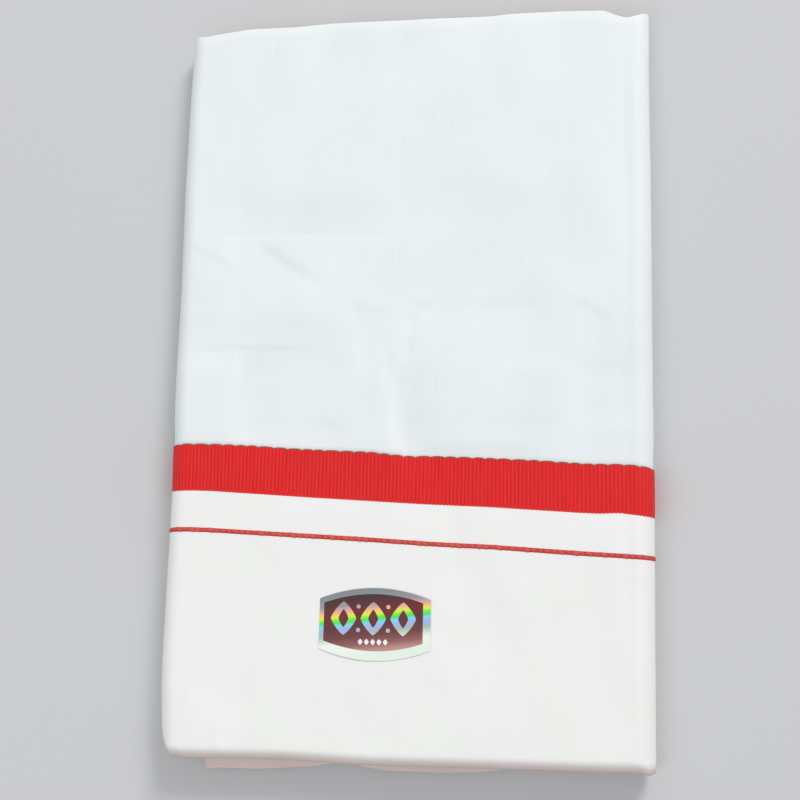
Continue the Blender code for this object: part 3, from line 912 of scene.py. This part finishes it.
LEAVES = 14
LEAF_PITCH = 0.00058
LEAF_THICK = 0.00050
LEAF_START = 2 * FOLD_RADIUS + HIDDEN_DROP + PLY  # how deep the first leaf lies
LEAF_BACK = 0.0010
LEAF_UNEVEN = 0.0009
LEAF_STAGGER = 0.0012  # how much further back every second leaf lies at the far end
LEAF_TURN = 2.39996  # from one leaf's waves to the next one's, so that no two are alike
LEAF_COLUMNS = 241
LOOSE_LEAVES = range(1, 5)
LOOSE_BACK = 0.0005
LOWER_LAYERS = [
    (-0.0984, -0.1790), (-0.0978, -0.1884), (-0.0900, -0.1878), (-0.0685, -0.1877),
    (-0.0440, -0.1858), (-0.0290, -0.1828), (-0.0230, -0.1838), (-0.0180, -0.1850),
    (-0.0077, -0.1862), (0.0162, -0.1864), (0.0400, -0.1850), (0.0515, -0.1834),
    (0.0620, -0.1790),
]


def leaf_tree():
    """Flat tubes with rounded edges, long side along X, laid under each other as the turns of the stack."""
    tree, given = new_tree("Leaves of the stack", {
        "Length": "Float",
        "Depth": "Float",
        "Thickness": "Float",
        "Columns": "Int",
        "Leaves": "Int",
        "Pitch": "Float",
        "Material": "Material",
    })
    half = figure(tree, "MULTIPLY", given["Length"], 0.5)
    line = add_node(tree, "GeometryNodeCurvePrimitiveLine", {
        "Start": triple(tree, X=figure(tree, "MULTIPLY", half, -1.0)),
        "End": triple(tree, X=half),
    })
    stepped = add_node(tree, "GeometryNodeResampleCurve", {
        "Curve": line.outputs["Curve"],
        "Count": given["Columns"],
    })
    copies = add_node(tree, "GeometryNodeDuplicateElements", {
        "Geometry": stepped.outputs["Curve"],
        "Amount": given["Leaves"],
    }, domain="SPLINE")
    number = copies.outputs["Duplicate Index"]
    depth = figure(tree, "MULTIPLY", figure(tree, "MULTIPLY", number, given["Pitch"]), -1.0)
    nested = add_node(tree, "GeometryNodeSetPosition", {
        "Geometry": stored(tree, copies.outputs["Geometry"], "leaf", number),
        "Offset": triple(tree, Z=depth),
    })
    section = add_node(tree, "GeometryNodeCurvePrimitiveQuadrilateral", {
        "Width": given["Depth"],
        "Height": given["Thickness"],
    })
    rounded = add_node(tree, "GeometryNodeFilletCurve", {
        "Curve": section.outputs["Curve"],
        "Radius": figure(tree, "MULTIPLY", given["Thickness"], 0.49),
        "Count": 3,
    }, mode="POLY")
    tube = add_node(tree, "GeometryNodeCurveToMesh", {
        "Curve": nested.outputs["Geometry"],
        "Profile Curve": rounded.outputs["Curve"],
    })
    end_tree(tree, tube.outputs["Mesh"], given["Material"])
    return tree


# Painted shade: the lower layers are painted pinker and a little darker than the outer ply, for the warm
# shade they lie in under the fold.
UNDER_WHITE = linear(233, 216, 212)
UNDER_SHADE = linear(225, 207, 203)
UNDER_TINT = linear(231, 213, 205)
under_cotton = woven_cotton("under_cotton", UNDER_WHITE, UNDER_SHADE, UNDER_TINT, weave_height=0.00012)
STACK_DEPTH = 0.3600
leaves = grown("inner_layers", leaf_tree(), {
    "Length": GIRTH,
    "Depth": STACK_DEPTH,
    "Thickness": LEAF_THICK,
    "Columns": LEAF_COLUMNS,
    "Leaves": LEAVES,
    "Pitch": LEAF_PITCH,
    "Material": under_cotton,
})

leaf_s, leaf_y, leaf_out = mesh_points(leaves).T
leaf_number = np.empty(len(leaves.vertices))
leaves.attributes["leaf"].data.foreach_get("value", leaf_number)

# Two of the columns on the underside are moved to the square corner of the loose layers.
columns = np.unique(leaf_s)
under_corner = [-2 * HALF_RUN - SPINE_ARC - x for x, _ in LOWER_LAYERS[:2]]
at_corner = np.argmin(np.abs(columns - under_corner[0]))
leaf_s = np.where(leaf_s == columns[at_corner], under_corner[0], leaf_s)
leaf_s = np.where(leaf_s == columns[at_corner - 1], under_corner[1], leaf_s)
leaf_x = plain_x(leaf_s)
leaf_turn = leaf_number * LEAF_TURN
ragged = LEAF_UNEVEN * (
    0.5 * np.sin(leaf_turn * 5.0)
    + 0.3 * np.sin(leaf_s * 70.0 + leaf_turn)
    + 0.2 * np.sin(leaf_s * 190.0 + leaf_turn * 3.0)
)
is_near = leaf_y < 0.0
near_y = near_end(leaf_x) + LEAF_BACK + ragged + leaf_y + STACK_DEPTH / 2
far_y = far_end(leaf_x) - LEAF_BACK - ragged - LEAF_STAGGER * (leaf_number % 2)
far_y = far_y + leaf_y - STACK_DEPTH / 2
_, _, leaf_up = station(leaf_s)
tongue = np.interp(leaf_x, *zip(*LOWER_LAYERS)) + LOOSE_BACK * (leaf_number - LOOSE_LEAVES[0]) ** 1.5
tongue = tongue + ragged * 0.3 + leaf_y + STACK_DEPTH / 2
is_loose = (leaf_up < 0.0) & (leaf_number >= LOOSE_LEAVES[0]) & (leaf_number <= LOOSE_LEAVES[-1])
is_loose &= (leaf_x > LOWER_LAYERS[0][0]) & (leaf_x < LOWER_LAYERS[-1][0])
near_y = np.where(is_loose, np.minimum(near_y, tongue), near_y)
leaf_y = np.where(is_near, near_y, far_y)
leaves.vertices.foreach_set("co", on_stack(leaf_s, leaf_y, leaf_out - LEAF_START, 0.0).ravel())
mend(leaves, merge=True, turn_out=True)
inner_layers = make_object("inner_layers_cloth", leaves)
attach(inner_layers, "root")
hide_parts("inner_layers")

# The sticker is a stiff label of hologram foil, glued flat on the flap. A dark varnish is printed
# over the foil, which stays bare as a rim and as an ornament of lozenges and dots, with a short
# row of white lozenges under it.

label_low, label_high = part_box("label")
LABEL_SHIFT = (0.0005, 0.0004)  # from the middle of its solid
LABEL_CENTRE = [(low + high) / 2 + shift for low, high, shift in zip(label_low, label_high, LABEL_SHIFT)]
LABEL_WIDTH = label_high[0] - label_low[0]
LABEL_SIDE = 0.0234
LABEL_CROWN = 0.0052
Margins = namedtuple("Margins", "left right top bottom")
NO_MARGINS = Margins(0.0, 0.0, 0.0, 0.0)
RIM = Margins(0.0021, 0.0036, 0.0028, 0.0044)
FOIL_THICK = 0.00020
PRINT_THICK = 0.00004
LABEL_STEPS = 24
LOZENGE_STEPS = 32
HOLOGRAM_SLOPE = -0.125
HOLOGRAM_SPAN = 0.035

# Colours from the label's near edge to its far one, each at its share of the span: painted reflections of
# the light, a white glint at the near edge and rainbow bands beyond it.
HOLOGRAM_REFLECTIONS = [
    (0.120, (238, 248, 234)),
    (0.270, (250, 252, 248)),
    (0.350, (206, 222, 206)),
    (0.400, (172, 195, 185)),
    (0.455, (175, 185, 230)),
    (0.490, (160, 190, 250)),
    (0.530, (130, 225, 235)),
    (0.565, (70, 232, 120)),
    (0.600, (120, 240, 50)),
    (0.640, (215, 250, 70)),
    (0.675, (252, 215, 110)),
    (0.710, (244, 180, 150)),
    (0.751, (200, 172, 172)),
    (0.790, (165, 150, 160)),
    (0.860, (142, 150, 156)),
    (0.957, (133, 141, 145)),
]
VARNISH = [
    (0.157, (192, 146, 136)),
    (0.243, (150, 95, 90)),
    (0.357, (112, 58, 58)),
    (0.500, (92, 42, 46)),
    (0.671, (112, 30, 34)),
    (0.871, (66, 34, 34)),
]


def barrel(margins=NO_MARGINS):
    """The sticker's outline, or one set in from it: short straight sides, long arcs above and below."""
    outline = []
    for side, margin in ((1.0, margins.top), (-1.0, margins.bottom)):
        for i in range(LABEL_STEPS + 1):
            share = (i / LABEL_STEPS) if side < 0.0 else 1.0 - i / LABEL_STEPS
            x = -LABEL_WIDTH / 2 + margins.left + share * (LABEL_WIDTH - margins.left - margins.right)
            crown = LABEL_CROWN * (1.0 - (x / (LABEL_WIDTH / 2)) ** 2)
            outline.append((x, side * (LABEL_SIDE / 2 + crown - margin)))
    return outline


def lozenge(x, y, half_width, half_height, bulge=1.6):
    """A lozenge with a little bulge in its sides: 2 is straight-sided, 1 an ellipse."""
    outline = []
    for i in range(LOZENGE_STEPS):
        turn = 2 * math.pi * i / LOZENGE_STEPS
        right = math.copysign(abs(math.cos(turn)) ** bulge, math.cos(turn))
        ahead = math.copysign(abs(math.sin(turn)) ** bulge, math.sin(turn))
        outline.append((x + half_width * right, y + half_height * ahead))
    return outline


# The sticker is stiff: it lies in one plane, on the highest points of the cloth under it.
spread = np.linspace(0.1, 1.0, 10)[:, None]
under_x, under_y = (spread * axis + centre for axis, centre in zip(np.array(barrel()).T, LABEL_CENTRE))
under_points = np.stack([under_x.ravel(), under_y.ravel(), np.ones(under_x.size)], axis=1)
under_z = NEAR_HEIGHT + relief(under_x.ravel(), under_y.ravel())
label_plane = np.linalg.lstsq(under_points, under_z, rcond=None)[0]
label_plane[2] += np.max(under_z - under_points @ label_plane)


def plate(bm, outline, low, high, material_index, hole=()):
    """A closed thin plate in the sticker's plane, with or without a hole of as many corners."""
    rings = []
    for edge in (outline, hole):
        for lift in (low, high):
            points = np.array([(x + LABEL_CENTRE[0], y + LABEL_CENTRE[1], 1.0) for x, y in edge])
            rings.append([bm.verts.new((p[0], p[1], p @ label_plane + lift)) for p in points])
    lower, upper, hole_lower, hole_upper = rings
    bands = [(lower, upper)]
    if hole:
        bands += [(upper, hole_upper), (hole_upper, hole_lower), (hole_lower, lower)]
    else:
        bm.faces.new(lower[::-1]).material_index = material_index
        bm.faces.new(upper).material_index = material_index
    for first, second in bands:
        for i in range(len(first)):
            j = (i + 1) % len(first)
            bm.faces.new((first[i], first[j], second[j], second[i])).material_index = material_index


def printed(name, stops, finish):
    """A glossy print or foil with its colours laid across the label, slanting a little; on the foil they are
    painted reflections of the light.
    """
    material, tree, shader = new_material(name, finish)
    place = axes_of(tree, add_node(tree, "ShaderNodeUVMap", uv_map="print").outputs["UV"])
    slanted = figure(tree, "MULTIPLY_ADD", place["X"], HOLOGRAM_SLOPE, place["Y"])
    share = figure(tree, "MULTIPLY_ADD", slanted, 1.0 / HOLOGRAM_SPAN, 0.5)
    colour = ramped(tree, share, *((place, linear(*parts)) for place, parts in stops))
    tree.links.new(colour, shader.inputs["Base Color"])
    return material


FOIL_FINISH = {"Metallic": 0.12, "Roughness": 0.28, "Coat Weight": 0.4, "Coat Roughness": 0.12}
VARNISH_FINISH = {"Metallic": 0.0, "Roughness": 0.45, "Coat Weight": 0.1, "Coat Roughness": 0.12}
hologram_foil = printed("hologram_foil", HOLOGRAM_REFLECTIONS, FOIL_FINISH)
dark_varnish = printed("dark_varnish", VARNISH, VARNISH_FINISH)
white_print, _, _ = new_material("white_print", {"Base Color": linear(250, 247, 244), "Roughness": 0.4})

# The ornament's places, from the label's centre, and half sizes.
Half = namedtuple("Half", "width height")
LARGE_X = (-0.0150, -0.0007, 0.0136)
LARGE_Y = 0.0026
LARGE = Half(0.0061, 0.0078)
HOLE = Half(0.0024, 0.0042)
DOTS_X = (-0.00785, 0.00645)
DOTS_Y = (-0.0028, 0.0082)
DOT = Half(0.0010, 0.0010)
SMALL_START = -0.0067
SMALL_PITCH = 0.0030
SMALL_Y = -0.0083
SMALL = Half(0.0011, 0.0014)
FOIL, DARK, WHITE = range(3)
PRINT_TOP = FOIL_THICK + PRINT_THICK
ORNAMENT_TOP = PRINT_TOP + PRINT_THICK

bm = bmesh.new()
plate(bm, barrel(), 0.0, FOIL_THICK, FOIL)
plate(bm, barrel(RIM), FOIL_THICK / 2, PRINT_TOP, DARK)
for x in LARGE_X:
    plate(bm, lozenge(x, LARGE_Y, *LARGE), FOIL_THICK, ORNAMENT_TOP, FOIL, hole=lozenge(x, LARGE_Y, *HOLE))
for x in DOTS_X:
    for y in DOTS_Y:
        plate(bm, lozenge(x, y, *DOT, bulge=1.0), FOIL_THICK, ORNAMENT_TOP, FOIL)
for i in range(5):
    plate(bm, lozenge(SMALL_START + SMALL_PITCH * i, SMALL_Y, *SMALL), FOIL_THICK, ORNAMENT_TOP, WHITE)
bmesh.ops.recalc_face_normals(bm, faces=bm.faces[:])
print_map = bm.loops.layers.uv.new("print")
for face in bm.faces:
    for loop in face.loops:
        loop[print_map].uv = (loop.vert.co.x - LABEL_CENTRE[0], loop.vert.co.y - LABEL_CENTRE[1])
label_mesh = bpy.data.meshes.new("foil_sticker")
bm.to_mesh(label_mesh)
bm.free()
for material in (hologram_foil, dark_varnish, white_print):
    label_mesh.materials.append(material)
foil_sticker = make_object("foil_sticker", label_mesh)
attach(foil_sticker, "root")
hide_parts("label")

# The cloth lies on a plain pale floor, in even pale light. A softbox beyond its far right corner
# brings out the creases, and a weaker one fills in from the near left.

FLOOR_REACH = 3.0
corners = [(x * FLOOR_REACH, y * FLOOR_REACH, 0.0) for x, y in ((-1, -1), (1, -1), (1, 1), (-1, 1))]
floor_mesh = bpy.data.meshes.new("floor")
floor_mesh.from_pydata(corners, [], [(0, 1, 2, 3)])
floor_paint, _, _ = new_material("floor", {"Base Color": linear(206, 206, 207), "Roughness": 0.95})
floor_mesh.materials.append(floor_paint)
floor = make_object("floor", floor_mesh)

world = bpy.data.worlds.new("studio")
bpy.context.scene.world = world
world.use_nodes = True
background = world.node_tree.nodes["Background"]
background.inputs["Color"].default_value = (0.947, 0.9655, 1.0, 1.0)
background.inputs["Strength"].default_value = 0.568


def soft_light(name, place, size, power, colour):
    """A square softbox that faces the stack."""
    lamp = bpy.data.lights.new(name, "AREA")
    lamp.shape = "SQUARE"
    lamp.size = size
    lamp.energy = power
    lamp.color = colour
    light = bpy.data.objects.new(name, lamp)
    direction = Vector(place)
    turned = direction.to_track_quat("Z", "Y").to_matrix().to_4x4()
    light.matrix_world = Matrix.Translation(direction) @ turned
    bpy.context.scene.collection.objects.link(light)


soft_light("far_softbox", (1.42, 2.62, 2.02), 1.2, 73.0, (1.0, 0.99, 0.975))
soft_light("near_softbox", (-0.70, -0.70, 1.45), 1.0, 5.4, (0.97, 0.985, 1.0))

bpy.context.scene.view_settings.view_transform = "Standard"

CAMERA_PLACE = Vector((0.0906, -0.1146, 0.6341))
CAMERA_BACK = Vector((0.1469, -0.1653, 0.9752)).normalized()
CAMERA_UP = Vector((0.0038, 0.9860, 0.1665))
camera_right = CAMERA_UP.cross(CAMERA_BACK).normalized()
camera_up = CAMERA_BACK.cross(camera_right)
lens = bpy.data.cameras.new("camera")
lens.lens = 58.5
lens.sensor_width = 36.0
lens.clip_start = 0.01
camera = bpy.data.objects.new("camera", lens)
axes = Matrix((camera_right, camera_up, CAMERA_BACK)).transposed().to_4x4()
camera.matrix_world = Matrix.Translation(CAMERA_PLACE) @ axes
bpy.context.scene.collection.objects.link(camera)
bpy.context.scene.camera = camera
